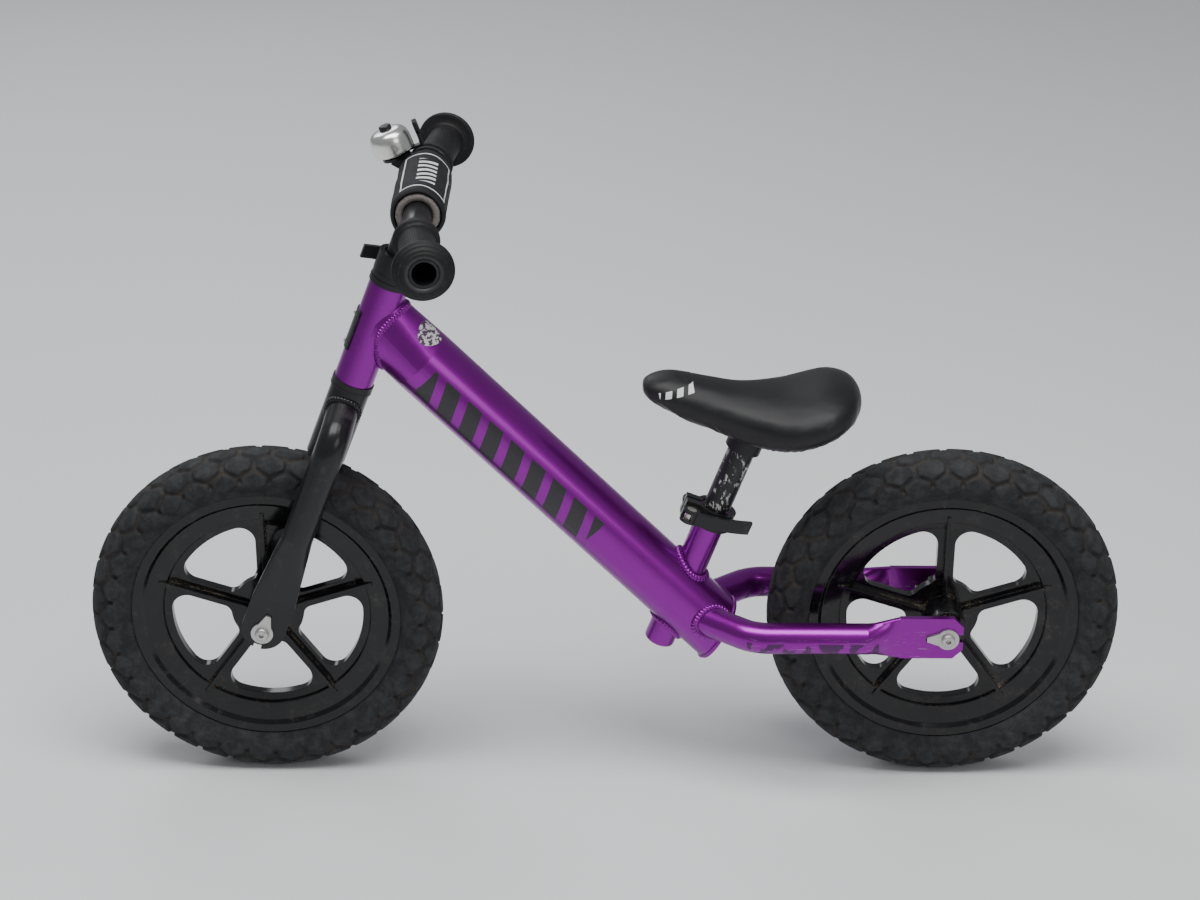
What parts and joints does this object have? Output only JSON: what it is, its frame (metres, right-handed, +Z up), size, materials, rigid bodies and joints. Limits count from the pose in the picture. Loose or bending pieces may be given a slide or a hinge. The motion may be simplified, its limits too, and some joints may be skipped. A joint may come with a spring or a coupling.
{
  "type": "balance bike",
  "caption": "Child's pedal-less balance bike: one fat main tube, foam-tyred moulded wheels, a straight fork, padded handlebar with bell, and a quick-release saddle.",
  "frame": {"origin": "on the ground, midway between the two axles, on the bike's middle plane", "axes": "+X forward along the bike, +Y to the bike's left, +Z up"},
  "size_m": [0.848, 0.315, 0.5445],
  "materials": {
    "frame_purple": "satin anodised purple",
    "fork_black": "semi-gloss black paint with pale chips",
    "clamp_black": "satin black",
    "headset_black": "black moulded plastic",
    "zinc": "zinc plated, dull",
    "polished_steel": "ground steel",
    "wheel_plastic": "glossy black with dust in the corners",
    "tyre_foam": "matte closed-cell foam",
    "grip_rubber": "matte black rubber",
    "pad_fabric": "black woven cover",
    "pad_foam": "grey-brown open foam",
    "bell_chrome": "polished",
    "bell_plastic": "black plastic",
    "seat_vinyl": "smooth satin black vinyl",
    "seat_plastic": "matte black plastic",
    "post_paint": "black paint, heavily scratched",
    "badge_black": "black enamel"
  },
  "bodies": {
    "frame": {"main_tube": "frame_purple", "tube_end_plate": "frame_purple", "head_tube": "frame_purple", "seat_tube": "frame_purple", "stay_left": "frame_purple", "stay_right": "frame_purple", "head_badge": "badge_black", "badge_rivets": "zinc", "headset_cup_lower": "headset_black", "headset_cup_upper": "headset_black", "headset_bearing_lower": "polished_steel", "headset_bearing_upper": "polished_steel", "seat_clamp_collar": "clamp_black", "seat_clamp_skewer": "polished_steel", "seat_clamp_nut": "clamp_black", "rear_axle": "zinc", "rear_axle_spacers": "zinc", "rear_axle_bolts": "zinc", "rear_tab_washers": "zinc"},
    "seat": {"seat_post": "post_paint", "seat_shell": "seat_plastic", "seat_pad": "seat_vinyl"},
    "seat_lever": {"seat_clamp_lever": "clamp_black"},
    "fork": {"fork_crown": "fork_black", "steerer_tube": "fork_black", "fork_leg_left": "fork_black", "fork_leg_right": "fork_black", "crown_race": "headset_black", "headset_top_cap": "headset_black", "stem_clamp_collar": "clamp_black", "stem_clamp_skewer": "polished_steel", "stem_clamp_nut": "clamp_black", "front_axle": "zinc", "front_axle_spacers": "zinc", "front_axle_bolts": "zinc", "front_tab_washers": "zinc"},
    "stem_lever": {"stem_clamp_lever": "clamp_black"},
    "bars": {"handlebar": "fork_black", "grip_left": "grip_rubber", "grip_right": "grip_rubber", "bar_pad_foam": "pad_foam", "bar_pad_cover": "pad_fabric", "bell_base": "bell_plastic", "bell_post": "polished_steel", "bell_dome": "bell_chrome", "bell_cap": "bell_plastic"},
    "bell_thumb_lever": {"bell_lever": "bell_plastic"},
    "front_wheel_assembly": {"front_wheel": "wheel_plastic", "front_tyre": "tyre_foam", "front_wheel_bearings": "polished_steel"},
    "rear_wheel_assembly": {"rear_wheel": "wheel_plastic", "rear_tyre": "tyre_foam", "rear_wheel_bearings": "polished_steel"}
  },
  "joints": [
    {"name": "steering", "type": "hinge", "parent": "frame", "child": "fork", "pos_m": [0.20053, 0, 0.35267], "axis": [-0.3535, 0, 0.9354], "continuous": true},
    {"name": "bar_height", "type": "slide", "parent": "fork", "child": "bars", "axis": [-0.3535, 0, 0.9354], "range_m": [-0.02, 0.05]},
    {"name": "seat_height", "type": "slide", "parent": "frame", "child": "seat", "axis": [-0.3469, 0, 0.9379], "range_m": [-0.05, 0.03]},
    {"name": "seat_lever_hinge", "type": "hinge", "parent": "frame", "child": "seat_lever", "pos_m": [-0.0683, 0.0157, 0.24102], "axis": [0.3469, 0, -0.9379], "range_deg": [0, 150]},
    {"name": "stem_lever_hinge", "type": "hinge", "parent": "fork", "child": "stem_lever", "pos_m": [0.14349, -0.0157, 0.44422], "axis": [0.3535, 0, -0.9354], "range_deg": [0, 150]},
    {"name": "bell_lever_hinge", "type": "hinge", "parent": "bars", "child": "bell_thumb_lever", "pos_m": [0.15953, -0.07554, 0.51803], "axis": [0.342, 0, 0.9397], "range_deg": [0, 22], "stiffness_Nm_per_rad": 0.02, "springref_deg": -17.19},
    {"name": "front_wheel_spin", "type": "hinge", "parent": "fork", "child": "front_wheel_assembly", "pos_m": [0.279, 0, 0.145], "axis": [0, 1, 0], "continuous": true},
    {"name": "rear_wheel_spin", "type": "hinge", "parent": "frame", "child": "rear_wheel_assembly", "pos_m": [-0.279, 0, 0.145], "axis": [0, 1, 0], "continuous": true}
  ]
}
